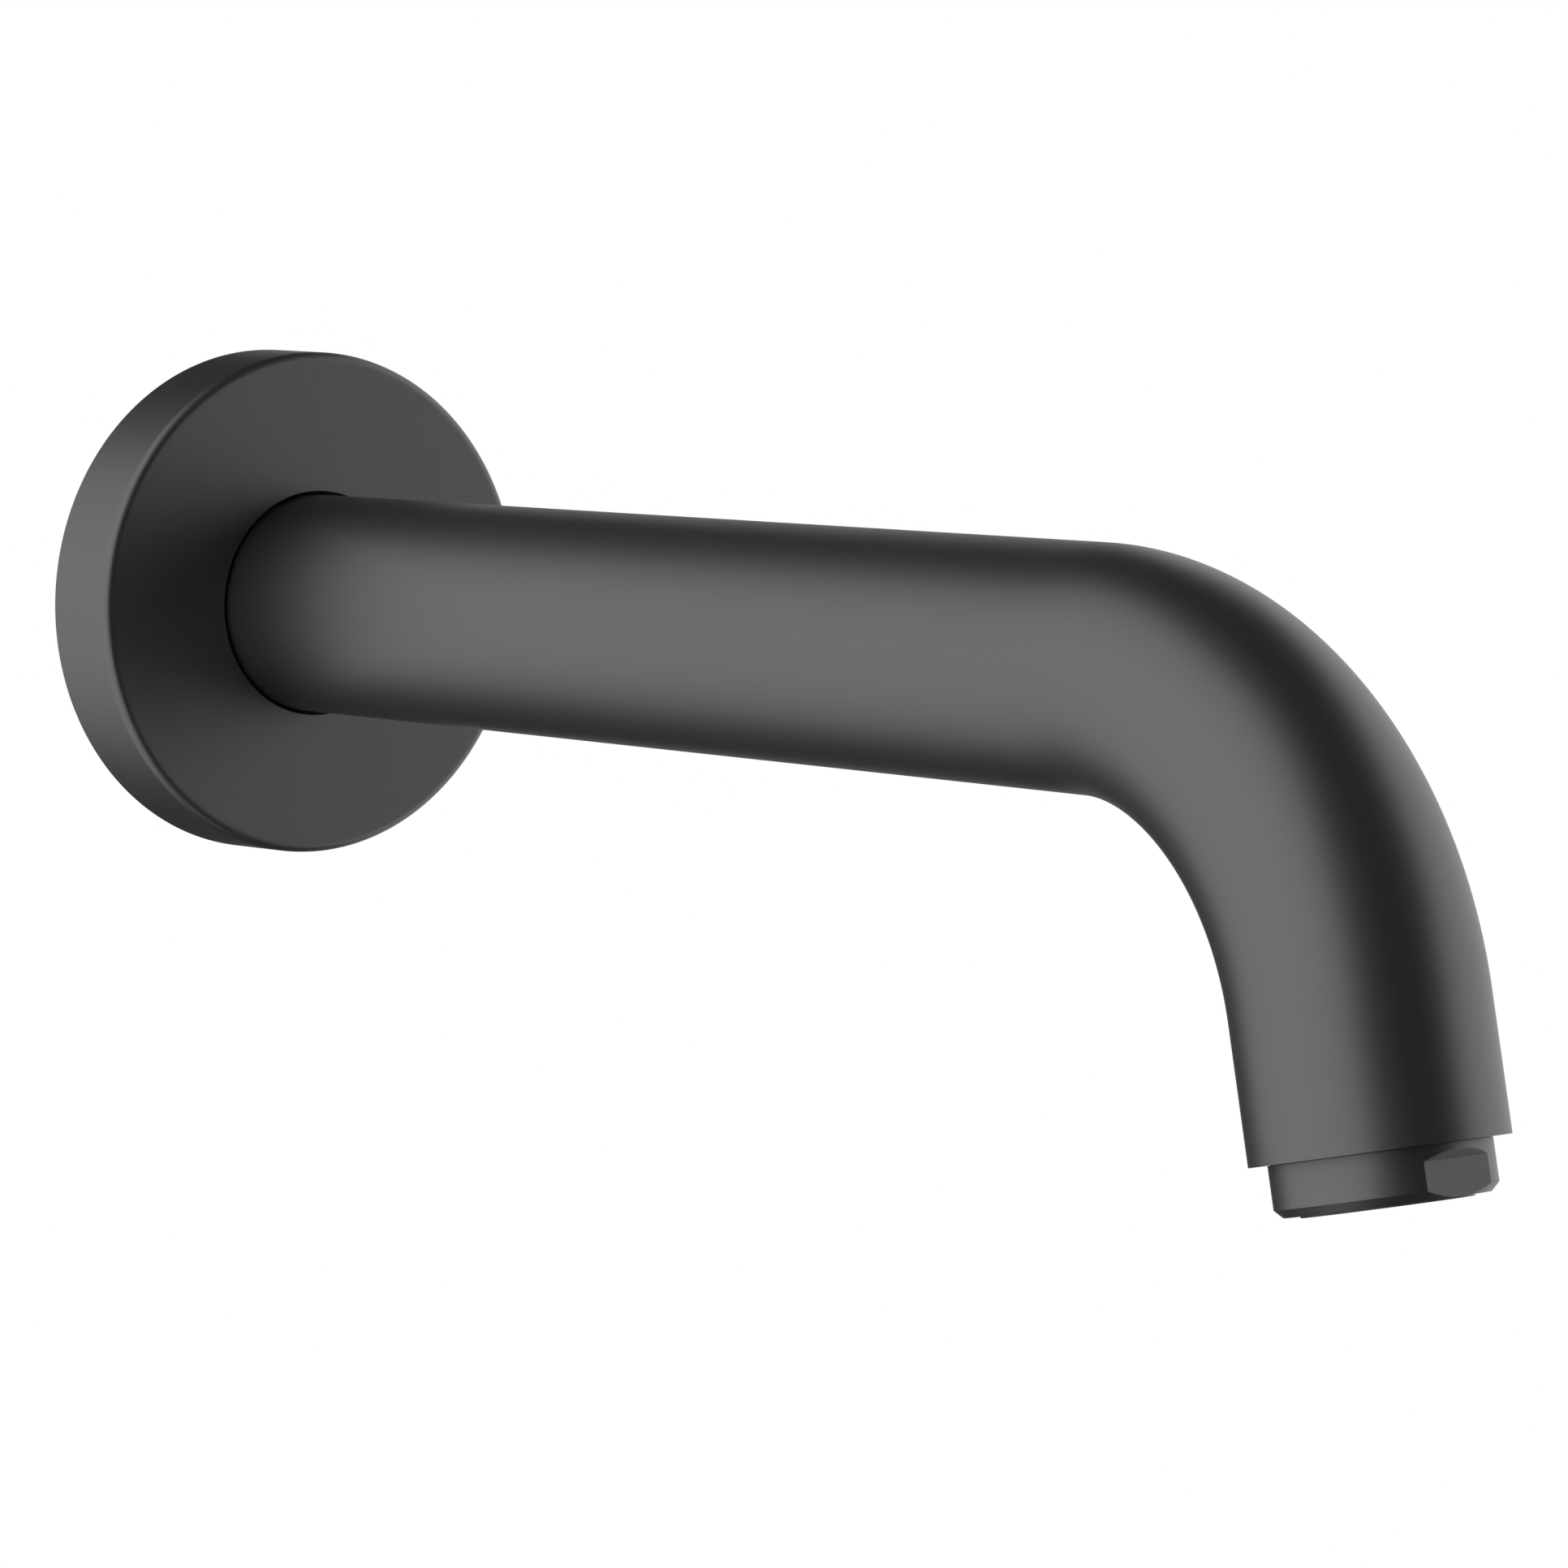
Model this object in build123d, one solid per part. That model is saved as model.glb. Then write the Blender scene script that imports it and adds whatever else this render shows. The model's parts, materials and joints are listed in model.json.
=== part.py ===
from build123d import *
import os

# Bath spout: a round tube that comes straight out of a round wall flange and bends down to a
# screwed-in aerator. It slips over a nipple in the wall, where one grub screw holds it.
# All sizes are in millimetres. The finished wall is the plane y = 0, the spout reaches out
# along -Y, +Z is up, and the origin is the centre of the flange's back face.

# Fits between pieces
braze_gap = 0.05          # film of braze between the tube and its bushes
slip_gap = 0.10           # radial play of a piece that is pushed in by hand
thread_gap = 0.05         # radial play of a thread, drawn as a plain cylinder
edge_break = 0.15         # sharp edges taken off
lead = 0.6                # chamfer that guides a piece into its hole
spare = 2.0               # how far a cutting tool runs past what it cuts
seal_bevel_share = 0.25   # bevel on a squeezed seal, as a share of its shorter side

# Aerator thread at the mouth, M24 x 1
outlet_thread_dia = 24.0
outlet_thread_depth = 0.65

# Spout tube, whose bore leaves room for the bush round the aerator thread
tube_wall = 1.0
bush_land = 0.95          # brass of the outlet bush outside the thread
run_length = 162.5        # wall to the start of the bend
bend_radius = 42.0        # to the centreline
bend_angle = 78.0
drop_length = 15.4        # end of the bend to the mouth
wall_gap = 1.0            # wall to the tube's rear end

# Wall flange
flange_back_dia = 65.0
flange_front_dia = 64.7
flange_depth = 11.7
flange_front_fillet = 1.1
flange_web = 2.0
flange_tube_gap = 0.5
hub_wall = 1.5
seal_front_lip = 1.4      # metal in front of the seal's groove
seal_rear_lip = 1.0
flange_seal_height = 1.9  # tube to the groove's floor
flange_seal_width = 2.2

# Soft ring in the flange's rim
gasket_height = 2.0
gasket_width = 3.4
gasket_seat = 1.6         # width of the step that it sits on
rim_land = 1.6            # metal left outside the gasket

# Wall nipple, G 1/2
wall_thread_dia = 20.955
wall_thread_length = 13.0
nipple_reach = 22.0       # wall to the nipple's front end
nipple_dia = 18.8
nipple_bore_dia = 11.6
hex_key_size = 12.0
hex_key_depth = 9.0
nipple_seal_height = 1.7  # groove's floor to the inlet bush
nipple_seal_width = 2.2
seal_side_gap = 0.2
nipple_seal_at = 12.0     # wall to the middle of the rear seal
nipple_seal_pitch = 5.0

# Grub screw, M5
grub_at = 5.0             # wall to the screw's axis
grub_dia = 4.48           # at the middle of its thread
grub_recess = 0.8
grub_key_size = 2.5
grub_key_depth = 1.8
grub_tip_dia = 1.0
grub_tube_gap = 0.45      # play round the screw in the tube's wall
grub_groove_depth = 1.0   # groove in the nipple that the screw's point enters
grub_point_gap = 0.15

# Brazed bushes
inlet_bush_overhang = 2.0 # past the nipple's front end
washer_seat_width = 2.2
washer_seat_height = 3.5

# Aerator housing
collar_step = 0.10        # how much smaller than the thread the collar is, in diameter
collar_height = 5.7       # mouth to the housing's foot
collar_seat_gap = 0.10
collar_chamfer = 0.92
flats_across = 22.0
flats_top = 1.7           # mouth to the flats' upper edge
housing_wall = 1.275      # middle of the thread to the bore
housing_ledge = 1.1       # height of the ledge that carries the insert

# Aerator insert, from its lip up
lip_dia = 18.5
lip_wall = 0.8
lip_drop = 0.23           # below the housing's foot
air_gap = 0.4             # ring round the lip through which air is drawn in
cell_size = 1.9           # honeycomb, across the flats of a cell
cell_wall = 0.35
cell_share = 0.3          # cells with less than this share left at the rim are not cut
grid_recess = 0.3         # lip's edge to the honeycomb
grid_flange = 1.0
notch_count = 8
notch_width = 2.6
notch_depth = 0.9
body_height = 8.2
body_wall = 0.7
body_head = 0.6
rib_height = 0.4
rib_width = 1.6
window_width = 2.4
window_height = 1.6
screen_ledge_at = 2.0     # body's foot to the ledge's top
screen_ledge_width = 0.7
screen_ledge_height = 0.8
screen_height = 0.4
screen_pitch = 1.7
screen_wire = 0.45
upper_screen_turn = 45.0  # against the lower one
jet_plate_height = 1.4
jet_dia = 1.0
jet_rings = 2
jets_per_ring = 12
jet_rim = 1.2             # body's bore to the outer ring of jets
jet_ring_step = 1.7
strainer_rim = 1.0
strainer_wall = 0.7
strainer_rise = 2.6
strainer_top_dia = 11.4
slot_length = 1.5
slot_width = 0.7
slot_ring_step = 2.3
slots_in_rings = (7, 13, 19)
washer_width = 2.6
washer_height = 2.0

# Radii that follow from the sizes above
outlet_thread_r = (outlet_thread_dia - outlet_thread_depth) / 2
thread_hole_r = outlet_thread_r + thread_gap
bush_r = outlet_thread_dia / 2 + bush_land
tube_bore_r = bush_r + braze_gap
tube_r = tube_bore_r + tube_wall
nipple_r = nipple_dia / 2
inlet_bore_r = nipple_r + slip_gap
nipple_floor_r = inlet_bore_r - nipple_seal_height
flange_hole_r = tube_r + flange_tube_gap
flange_floor_r = tube_r + flange_seal_height
gasket_r = flange_back_dia / 2 - rim_land
collar_r = (outlet_thread_dia - collar_step) / 2
housing_bore_r = outlet_thread_r - housing_wall
insert_r = housing_bore_r - slip_gap
lip_r = lip_dia / 2
body_r = insert_r - rib_height
body_bore_r = body_r - body_wall
washer_r = outlet_thread_r - slip_gap
strainer_r = washer_r - washer_width - slip_gap
grub_r = grub_dia / 2

# Heights along the tube from its mouth, up is positive
housing_foot = -collar_height
ledge_top = housing_foot + housing_ledge
body_foot = ledge_top + grid_flange
jet_plate_foot = body_foot + body_height
strainer_foot = jet_plate_foot + jet_plate_height
insert_top = strainer_foot + strainer_rim
washer_seat = insert_top + washer_height

# Side view, and the frames that pieces are drawn in: out from the wall along the tube's run,
# down from the tube's axis along the grub screw, and up the tube from the middle of its mouth
side_view = Plane(origin=(0, 0, 0), x_dir=(0, -1, 0), z_dir=(-1, 0, 0))
run = Line((wall_gap, 0), (run_length, 0))
bend = JernArc(start=run @ 1, tangent=run % 1, radius=bend_radius, arc_size=-bend_angle)
drop = Line(bend @ 1, bend @ 1 + drop_length * (bend % 1))
centreline = side_view * (run + bend + drop)
wall_frame = Plane(origin=(0, 0, 0), x_dir=(1, 0, 0), z_dir=(0, -1, 0))
grub_frame = Plane(origin=(0, -grub_at, 0), x_dir=(1, 0, 0), z_dir=(0, 0, -1))
mouth_frame = Plane(origin=centreline @ 1, x_dir=(1, 0, 0), z_dir=-(centreline % 1))


def turned(*outline):
    """Solid turned about Z from half its outline, given as (radius, height) points."""
    return revolve(Plane.XZ * make_face(Polyline(*outline, close=True)), Axis.Z)


def ring(inner_r, outer_r, low, high):
    """Flat ring about Z."""
    return turned((inner_r, low), (outer_r, low), (outer_r, high), (inner_r, high))


def disc(radius, low, high):
    """Round plate about Z."""
    return Pos(0, 0, low) * extrude(Circle(radius), high - low)


def soft_ring(inner_r, outer_r, width, middle):
    """Rubber ring about Z, squeezed flat between two cylinders, with its corners bevelled."""
    height = outer_r - inner_r
    squeezed = Plane.XZ * Pos((inner_r + outer_r) / 2, middle) * Rectangle(height, width)
    section = chamfer(squeezed.vertices(), seal_bevel_share * min(height, width))
    return revolve(section, Axis.Z)


def hex_hole(size, low, high):
    """Six-sided hole about Z, given by the size of its key."""
    return Pos(0, 0, low) * extrude(RegularPolygon(size / 2, 6, major_radius=False), high - low)


def copies_around(count, piece, start=0.0):
    """Copies of a piece, evenly spaced about Z."""
    return [Rot(0, 0, start + 360 * i / count) * piece for i in range(count)]


def grub_hole(radius):
    """Hole along the grub screw's axis, through one side of the tube only."""
    return grub_frame * disc(radius, nipple_floor_r, tube_r + spare)


def spout_tube():
    """Bent tube: one ring section swept along the run, the bend and the drop."""
    section = Plane(origin=centreline @ 0, z_dir=centreline % 0) * (Circle(tube_r) - Circle(tube_bore_r))
    tube = sweep(section, path=centreline)
    mouth_edge = tube.edges().group_by(Axis.Z)[0].sort_by(SortBy.RADIUS)[-1]
    return chamfer(mouth_edge, edge_break) - grub_hole(grub_r + grub_tube_gap)


def inlet_bush():
    """Thick ring brazed into the tube's rear end, bored for the nipple and tapped for the screw."""
    front = nipple_reach + inlet_bush_overhang
    bush = turned(
        (inlet_bore_r + lead, wall_gap),
        (tube_bore_r - braze_gap, wall_gap),
        (tube_bore_r - braze_gap, front),
        (inlet_bore_r + lead, front),
        (inlet_bore_r, front - lead),
        (inlet_bore_r, wall_gap + lead),
    )
    return wall_frame * bush - grub_hole(grub_r + thread_gap)


def outlet_bush():
    """Ring brazed into the tube's mouth, with the aerator thread and the washer's seat."""
    seat_bore_r = thread_hole_r - washer_seat_width
    top = washer_seat + washer_seat_height
    return mouth_frame * turned(
        (thread_hole_r + edge_break, 0),
        (bush_r, 0),
        (bush_r, top),
        (seat_bore_r + lead, top),
        (seat_bore_r, top - lead),
        (seat_bore_r, washer_seat),
        (thread_hole_r, washer_seat),
        (thread_hole_r, edge_break),
    )


def nipple_seal_places():
    """Distances from the wall to the middles of the nipple's two seals."""
    return nipple_seal_at, nipple_seal_at + nipple_seal_pitch


def wall_nipple():
    """Nipple: thread behind the wall, and a spigot with grooves for two seals and the screw."""
    thread_r = wall_thread_dia / 2
    bore_r = nipple_bore_dia / 2
    nipple = turned(
        (bore_r, -wall_thread_length),
        (thread_r - lead, -wall_thread_length),
        (thread_r, -wall_thread_length + lead),
        (thread_r, 0),
        (nipple_r, 0),
        (nipple_r, nipple_reach - lead),
        (nipple_r - lead, nipple_reach),
        (bore_r, nipple_reach),
    )
    floor = grub_tip_dia / 2 + grub_point_gap
    wide = floor + grub_groove_depth + spare
    nipple -= turned(
        (nipple_r - grub_groove_depth, grub_at - floor),
        (nipple_r - grub_groove_depth, grub_at + floor),
        (nipple_r + spare, grub_at + wide),
        (nipple_r + spare, grub_at - wide),
    )
    half_groove = nipple_seal_width / 2 + seal_side_gap
    for middle in nipple_seal_places():
        nipple -= ring(nipple_floor_r, nipple_r + spare, middle - half_groove, middle + half_groove)
    nipple -= hex_hole(hex_key_size, nipple_reach - hex_key_depth, nipple_reach + spare)
    return wall_frame * nipple


def nipple_seal(middle):
    """One of the two O-rings between the nipple and the inlet bush."""
    return wall_frame * soft_ring(nipple_floor_r, inlet_bore_r, nipple_seal_width, middle)


def grub_screw():
    """Socket set screw with a cone point, from the nipple's groove out to the tube's wall."""
    tip_r = grub_tip_dia / 2
    point = nipple_r - grub_groove_depth + grub_point_gap
    head = tube_r - grub_recess
    screw = turned((0, point), (tip_r, point), (grub_r, point + grub_r - tip_r), (grub_r, head), (0, head))
    return grub_frame * (screw - hex_hole(grub_key_size, head - grub_key_depth, head + spare))


def wall_flange():
    """Hollow cover on the wall: a tapered cup with a grooved hub round the tube."""
    back_r = flange_back_dia / 2
    front_r = flange_front_dia / 2
    web_back = flange_depth - flange_web
    groove_front = flange_depth - seal_front_lip
    groove_back = groove_front - flange_seal_width - 2 * seal_side_gap
    cup = turned(
        (gasket_r, 0),
        (back_r, 0),
        (front_r, flange_depth),
        (flange_hole_r, flange_depth),
        (flange_hole_r, groove_back - seal_rear_lip),
        (flange_floor_r + hub_wall, groove_back - seal_rear_lip),
        (flange_floor_r + hub_wall, web_back),
        (gasket_r - gasket_seat, web_back),
        (gasket_r - gasket_seat, gasket_height),
        (gasket_r, gasket_height),
    )
    front_edge = cup.edges().group_by(Axis.Z)[-1].sort_by(SortBy.RADIUS)[-1]
    cup = fillet(front_edge, flange_front_fillet)
    return wall_frame * (cup - ring(tube_r, flange_floor_r, groove_back, groove_front))


def flange_seal():
    """O-ring in the hub's groove that grips the tube and keeps the flange on the wall."""
    middle = flange_depth - seal_front_lip - seal_side_gap - flange_seal_width / 2
    return wall_frame * soft_ring(tube_r, flange_floor_r, flange_seal_width, middle)


def wall_gasket():
    """Soft flat ring in the flange's rim, flush with the wall."""
    return wall_frame * ring(gasket_r - gasket_width, gasket_r, 0, gasket_height)


def aerator_housing():
    """Threaded ring with a chamfered collar, on which two flats run out upwards at 45 degrees."""
    housing = turned(
        (lip_r + air_gap, housing_foot),
        (collar_r - collar_chamfer, housing_foot),
        (collar_r, housing_foot + collar_chamfer),
        (collar_r, -collar_seat_gap),
        (outlet_thread_r, -collar_seat_gap),
        (outlet_thread_r, insert_top - lead),
        (outlet_thread_r - lead, insert_top),
        (housing_bore_r, insert_top),
        (housing_bore_r, ledge_top),
        (lip_r + air_gap, ledge_top),
    )
    flat = flats_across / 2
    side_cut = make_face(Polyline(
        (flat, housing_foot - spare),
        (flat + spare, housing_foot - spare),
        (flat + spare, spare - flats_top),
        (flat, -flats_top),
        close=True,
    ))
    cutter = extrude(Plane.YZ * side_cut, collar_r, both=True)
    return mouth_frame * (housing - copies_around(2, cutter))


def honeycomb(radius):
    """Flat pattern of six-sided cells within a circle, without the smallest cut ones."""
    pitch = cell_size + cell_wall
    count = 2 * int(radius / pitch) + 3
    cell = RegularPolygon(cell_size / 2, 6, major_radius=False)
    places = HexLocations(pitch / 2, count, count, major_radius=False)
    cells = [face for place in places for face in ((place * cell) & Circle(radius)).faces()]
    return Sketch() + [face for face in cells if face.area > cell_share * cell.area]


def aerator_outlet_grid():
    """Lip and honeycomb that the water leaves by, hung on a notched flange."""
    grid_r = lip_r - lip_wall
    lip_foot = housing_foot - lip_drop
    shell = turned(
        (grid_r, lip_foot),
        (lip_r, lip_foot),
        (lip_r, ledge_top),
        (insert_r, ledge_top),
        (insert_r, body_foot),
        (grid_r, body_foot),
    )
    grid_foot = lip_foot + grid_recess
    plate = Circle(grid_r) - honeycomb(grid_r - cell_wall)
    shell += Pos(0, 0, grid_foot) * extrude(plate, body_foot - grid_foot)
    notch = Pos(insert_r, 0, ledge_top) * Box(2 * notch_depth, notch_width, 2 * grid_flange + spare)
    return mouth_frame * (shell - copies_around(notch_count, notch))


def aerator_body():
    """Ribbed sleeve with air windows under its head and a ledge for the screens."""
    head = jet_plate_foot
    sleeve = ring(body_bore_r, body_r, body_foot, head)
    sleeve += ring(body_bore_r, insert_r, head - body_head, head)
    ledge_at = body_foot + screen_ledge_at
    sleeve += ring(body_bore_r - screen_ledge_width, body_bore_r, ledge_at - screen_ledge_height, ledge_at)
    rib_root = (body_bore_r + body_r) / 2
    rib_middle = (rib_root + insert_r) / 2
    rib = Pos(rib_middle, 0, (body_foot + head) / 2) * Box(insert_r - rib_root, rib_width, body_height)
    sleeve += copies_around(notch_count, rib, 180 / notch_count)
    sleeve &= disc(insert_r, body_foot, head)
    window_at = head - body_head - window_height / 2
    window = Pos(body_r, 0, window_at) * Box(2 * spare, window_width, window_height)
    return mouth_frame * (sleeve - copies_around(notch_count, window))


def aerator_screen(level, turn):
    """Mixing screen: a round plate pierced by square holes, the level-th from the ledge."""
    radius = body_bore_r - slip_gap
    low = body_foot + screen_ledge_at + level * screen_height
    count = 2 * int(radius / screen_pitch) + 1
    hole = Rectangle(screen_pitch - screen_wire, screen_pitch - screen_wire)
    holes = [
        place * hole
        for place in GridLocations(screen_pitch, screen_pitch, count, count)
        if place.position.length < radius - screen_pitch / 2 - screen_wire
    ]
    plate = Circle(radius) - holes
    return mouth_frame * Rot(0, 0, turn) * Pos(0, 0, low) * extrude(plate, screen_height)


def aerator_jet_plate():
    """Plate that splits the water into rings of fine jets."""
    plate = Circle(insert_r)
    for row in range(jet_rings):
        radius = body_bore_r - jet_rim - row * jet_ring_step
        start = 180 * row / jets_per_ring
        plate -= copies_around(jets_per_ring, Pos(radius, 0) * Circle(jet_dia / 2), start)
    return mouth_frame * Pos(0, 0, jet_plate_foot) * extrude(plate, jet_plate_height)


def aerator_strainer():
    """Cone-shaped sieve with a flat top, rings of radial slots and a rim to hold it."""
    top_r = strainer_top_dia / 2
    peak = insert_top + strainer_rise
    sieve = turned(
        (0, peak),
        (top_r, peak),
        (strainer_r, insert_top),
        (insert_r, insert_top),
        (insert_r, strainer_foot),
        (strainer_r - strainer_wall, strainer_foot),
        (strainer_r - strainer_wall, insert_top),
        (top_r - strainer_wall / 2, peak - strainer_wall),
        (0, peak - strainer_wall),
    )
    slot = Pos(0, 0, peak) * Box(slot_length, slot_width, 2 * strainer_rise)
    for row, count in enumerate(slots_in_rings):
        sieve -= copies_around(count, Pos((row + 1) * slot_ring_step) * slot)
    return mouth_frame * sieve


def aerator_washer():
    """Flat rubber washer between the aerator's top and the outlet bush's seat."""
    return mouth_frame * ring(washer_r - washer_width, washer_r, insert_top, washer_seat)


rear_seal_at, front_seal_at = nipple_seal_places()
pieces = {
    "spout_tube": spout_tube(),
    "inlet_bush": inlet_bush(),
    "outlet_bush": outlet_bush(),
    "wall_nipple": wall_nipple(),
    "nipple_seal_rear": nipple_seal(rear_seal_at),
    "nipple_seal_front": nipple_seal(front_seal_at),
    "grub_screw": grub_screw(),
    "wall_flange": wall_flange(),
    "flange_seal": flange_seal(),
    "wall_gasket": wall_gasket(),
    "aerator_housing": aerator_housing(),
    "aerator_washer": aerator_washer(),
    "aerator_strainer": aerator_strainer(),
    "aerator_jet_plate": aerator_jet_plate(),
    "aerator_body": aerator_body(),
    "aerator_screen_upper": aerator_screen(1, upper_screen_turn),
    "aerator_screen_lower": aerator_screen(0, 0),
    "aerator_outlet_grid": aerator_outlet_grid(),
}

os.makedirs("parts", exist_ok=True)
for name, piece in pieces.items():
    export_step(piece, f"parts/{name}.step")
    print(f"{name}: {piece.volume:.1f} cubic mm, valid {piece.is_valid}")
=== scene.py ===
# %% [markdown]
# # A bath spout in a matt graphite coating
#
# The object is a wall spout for a bath: a round tube that comes straight out of a round wall
# flange, bends down, and ends in a small screwed ring that mixes air into the water.
#
# The pieces that carry and hold each other come ready made, as a fixed frame at their real size.
# This lesson gives them what a camera sees: finishes, threads, woven screens and soft rings,
# and the studio round them. Blender works in metres here, and a size in millimetres is
# multiplied by MM. The wall is the plane y = 0, the spout reaches out along -Y, and +Z is up.

import json
import math

import bmesh
import bpy
import numpy as np
from mathutils import Matrix, Vector


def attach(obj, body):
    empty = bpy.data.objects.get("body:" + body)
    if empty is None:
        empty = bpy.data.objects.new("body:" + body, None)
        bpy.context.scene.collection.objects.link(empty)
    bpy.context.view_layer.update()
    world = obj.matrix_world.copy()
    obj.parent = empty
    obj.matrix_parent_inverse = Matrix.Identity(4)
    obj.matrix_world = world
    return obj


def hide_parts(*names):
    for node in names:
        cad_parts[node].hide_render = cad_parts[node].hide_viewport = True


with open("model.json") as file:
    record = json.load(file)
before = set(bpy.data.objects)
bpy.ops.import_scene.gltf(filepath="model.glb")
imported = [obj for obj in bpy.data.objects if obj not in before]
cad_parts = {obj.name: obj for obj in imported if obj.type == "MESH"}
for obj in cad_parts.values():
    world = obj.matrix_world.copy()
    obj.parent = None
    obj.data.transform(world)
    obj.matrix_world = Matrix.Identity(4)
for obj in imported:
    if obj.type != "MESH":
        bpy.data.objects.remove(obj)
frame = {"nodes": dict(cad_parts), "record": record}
nodes = frame["nodes"]
scene = bpy.context.scene
MM = 0.001
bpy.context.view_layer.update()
print("nodes:", ", ".join(sorted(nodes)))

# %% [markdown]
# ## The camera
#
# The photograph was taken with a long lens from the left, a little above the tube, so the
# tube's far end looks almost as thick as its near end. A camera's place can be found by trying
# angles by hand, or by solving for the place from which known sizes, such as the round flange
# and the straight tube, project to the outlines that the picture shows. The second way was
# used, because a long lens hides small errors of place until the outlines are compared.

# %% Camera
PICTURE = 1932                  # pixels, width and height
FOCAL_PIXELS = 7501.7           # focal length, in pixels of the picture
SENSOR = 36.0                   # millimetres
CAMERA_PLACE = (-0.44886, -0.65985, 0.04933)
LOOKS_DOWN = 5.296              # degrees below level
TURNED = -39.0914               # degrees from the direction straight at the wall
ROLLED = 0.034                  # degrees about the line of sight

camera = bpy.data.objects.new("camera", bpy.data.cameras.new("camera"))
camera.location = CAMERA_PLACE
camera.rotation_euler = [math.radians(angle) for angle in (90 - LOOKS_DOWN, ROLLED, TURNED)]
camera.data.sensor_width = SENSOR
camera.data.lens = SENSOR * FOCAL_PIXELS / PICTURE
scene.collection.objects.link(camera)
scene.camera = camera
scene.view_settings.view_transform = "Standard"
print(f"lens {camera.data.lens:.1f} mm, {camera.location.length:.3f} m from the wall's origin")

# %% [markdown]
# ## Small helpers for shader nodes
#
# Every finish below is a network of shader nodes. Nodes can be placed one by one in the
# editor. In code it is clearer to have one helper that adds a node, sets its values and links
# its inputs in one call. An input given as an output socket is linked, any other is set.

# %% Node helpers
def add(tree, kind, inputs=None, **settings):
    """Adds a node of a kind, with its settings, and links or sets the named inputs."""
    node = tree.nodes.new("ShaderNode" + kind)
    for key, value in settings.items():
        setattr(node, key, value)
    for key, value in (inputs or {}).items():
        if isinstance(value, bpy.types.NodeSocket):
            tree.links.new(value, node.inputs[key])
        else:
            node.inputs[key].default_value = value
    return node


def maths(tree, operation, *values):
    """A Math node's result for one to three numbers or sockets."""
    return add(tree, "Math", dict(enumerate(values)), operation=operation).outputs[0]


def spread(tree, value, low, high, new_low, new_high):
    """Maps low..high onto new_low..new_high, held at both ends."""
    ends = {"From Min": low, "From Max": high, "To Min": new_low, "To Max": new_high}
    return add(tree, "MapRange", {"Value": value, **ends}).outputs["Result"]


def between(tree, mask, low, high):
    """A value that runs from low to high as a mask runs from 0 to 1."""
    return spread(tree, mask, 0.0, 1.0, low, high)


def blend_colour(tree, factor, first, second):
    """Mixes two colours, each a tuple or a socket."""
    return add(tree, "Mix", {0: factor, 6: first, 7: second}, data_type="RGBA").outputs[2]


def place(tree):
    """Each surface point's own place, in metres."""
    return add(tree, "TexCoord").outputs["Object"]


def grey(value):
    """A colour without tint."""
    return value, value, value, 1.0


# %% [markdown]
# ## Surface effects as node groups
#
# Three effects return on several finishes, so each is a group with named sockets, built once
# and used with other values:
#
# - `fine_grain` is the skin of a coating, a cast rubber or a moulded plastic: a mix of two
#   sizes of noise that gives a height for the bump and a mask for small changes of roughness.
# - `handling` is the slow cloudiness that hands and dried water leave.
# - `soft_edges` rounds every hard corner a little in the shading and gives a mask of those
#   corners, where a finish is thinner and rubs brighter.

# %% Making and using a group
def new_group(name, inputs, outputs):
    """An empty shader group with number inputs, given with their values, and typed outputs."""
    group = bpy.data.node_groups.new(name, "ShaderNodeTree")
    for label, value in inputs.items():
        socket = group.interface.new_socket(label, in_out="INPUT", socket_type="NodeSocketFloat")
        socket.default_value = value
    for label, kind in outputs.items():
        group.interface.new_socket(label, in_out="OUTPUT", socket_type="NodeSocket" + kind)
    given, result = group.nodes.new("NodeGroupInput"), group.nodes.new("NodeGroupOutput")
    return group, given.outputs, result.inputs


def use(tree, group, inputs):
    """Places a group in a material's tree, with its own values, and gives its outputs."""
    return add(tree, "Group", inputs, node_tree=group).outputs


# %% Group: fine grain
NOISE_SPAN = 0.35, 0.65         # most of a noise's values lie between these
COARSER = 0.28                  # scale of the coarse noise, as a share of the fine one's

grain_group, given, result = new_group(
    "fine_grain", {"Grain Size": 0.2 * MM, "Coarse Share": 0.35}, {"Height": "Float", "Mask": "Float"})
where = place(grain_group)
fine_scale = maths(grain_group, "DIVIDE", 1.0, given["Grain Size"])
fine = add(grain_group, "TexNoise", {
    "Vector": where, "Scale": fine_scale, "Detail": 3.0, "Roughness": 0.6})
coarse_scale = maths(grain_group, "MULTIPLY", fine_scale, COARSER)
coarse = add(grain_group, "TexNoise", {"Vector": where, "Scale": coarse_scale, "Detail": 2.0})
both = add(grain_group, "Mix", {0: given["Coarse Share"], 2: fine.outputs[0], 3: coarse.outputs[0]})
grain_mask = spread(grain_group, both.outputs[0], *NOISE_SPAN, 0.0, 1.0)
grain_group.links.new(both.outputs[0], result["Height"])
grain_group.links.new(grain_mask, result["Mask"])
print(grain_group.name, "has", len(grain_group.nodes), "nodes")

# %% Group: handling
SOFT_REACH, HARD_REACH = 0.3, 0.04      # half the noise's span that the mask uses, at contrast 0 and 1

handling_group, given, result = new_group(
    "handling", {"Patch Size": 25 * MM, "Contrast": 0.5}, {"Mask": "Float"})
patch_scale = maths(handling_group, "DIVIDE", 1.0, given["Patch Size"])
patches = add(handling_group, "TexNoise", {
    "Vector": place(handling_group), "Scale": patch_scale, "Detail": 4.0, "Distortion": 0.6})
reach = between(handling_group, given["Contrast"], SOFT_REACH, HARD_REACH)
low_end = maths(handling_group, "SUBTRACT", 0.5, reach)
high_end = maths(handling_group, "ADD", 0.5, reach)
patch_mask = spread(handling_group, patches.outputs[0], low_end, high_end, 0.0, 1.0)
handling_group.links.new(patch_mask, result["Mask"])
print(handling_group.name, "has", len(handling_group.nodes), "nodes")

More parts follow.
